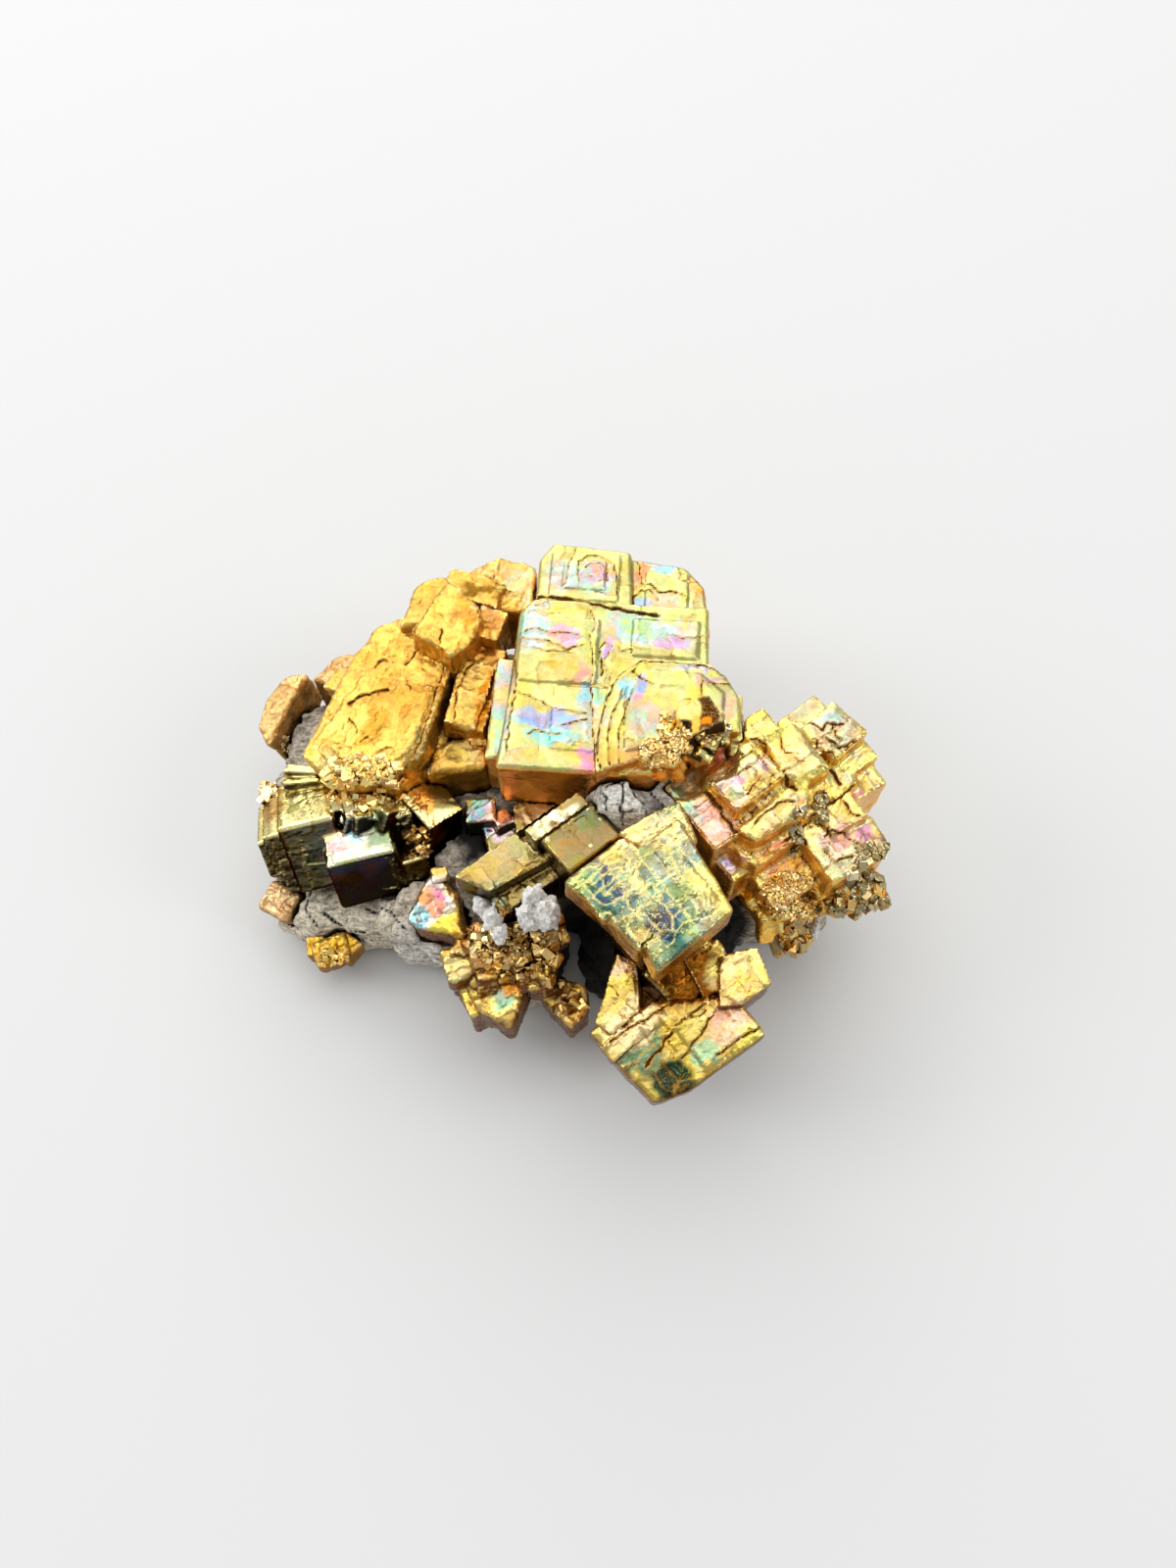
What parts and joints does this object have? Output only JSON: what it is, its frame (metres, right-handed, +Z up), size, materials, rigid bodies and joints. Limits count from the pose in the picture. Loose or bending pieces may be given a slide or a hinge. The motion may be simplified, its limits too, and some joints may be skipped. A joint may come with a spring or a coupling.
{
  "type": "iridescent pyrite cluster",
  "caption": "Free-standing cluster of stepped, iridescent pyrite cubes and plates on a lump of grey host rock with a flat underside.",
  "frame": {"origin": "middle of the rock's flat underside, which the specimen rests on", "axes": "+Z up, +X along the long way of the cluster, towards the stepped terraces; -Y towards the lone front cube"},
  "size_m": [0.0627, 0.0574, 0.0286],
  "materials": {
    "host_rock": "matt, cracked and streaky grey host rock, broken and never polished",
    "pyrite_green_pink": "natural pyrite faces with a thin tarnish film: pale green gold with aqua and pink patches, semi-gloss, cracked",
    "pyrite_teal": "natural pyrite faces with a thin tarnish film: teal and olive with golden step lines, semi-gloss",
    "pyrite_pale_gold": "natural pyrite faces with a thin tarnish film: pale gold with pink and orange, semi-gloss, stepped",
    "pyrite_warm_gold": "natural pyrite faces, warm yellow gold, rough and cracked",
    "pyrite_bronze": "natural pyrite faces, olive to dark bronze, glossy",
    "white_clay": "matt, crumbly white clay",
    "grey_quartz": "dull grey-white quartz grains"
  },
  "bodies": {
    "root": {"matrix_rock": "host_rock", "large_cube_crystals": "pyrite_green_pink", "central_plate_crystals": "pyrite_teal", "terrace_crystals": "pyrite_pale_gold", "left_plate_crystals": "pyrite_warm_gold", "left_edge_low_crystal": "pyrite_warm_gold", "left_edge_high_crystal": "pyrite_warm_gold", "lower_left_crystals": "pyrite_bronze", "middle_crystals": "pyrite_bronze", "front_cube_crystals": "pyrite_teal", "front_druse_crystals": "pyrite_pale_gold", "edge_gold_crystals": "pyrite_warm_gold", "edge_peach_crystal": "pyrite_warm_gold", "clay_lump_long": "white_clay", "clay_lump_round": "white_clay", "quartz_lump": "grey_quartz"}
  },
  "joints": []
}
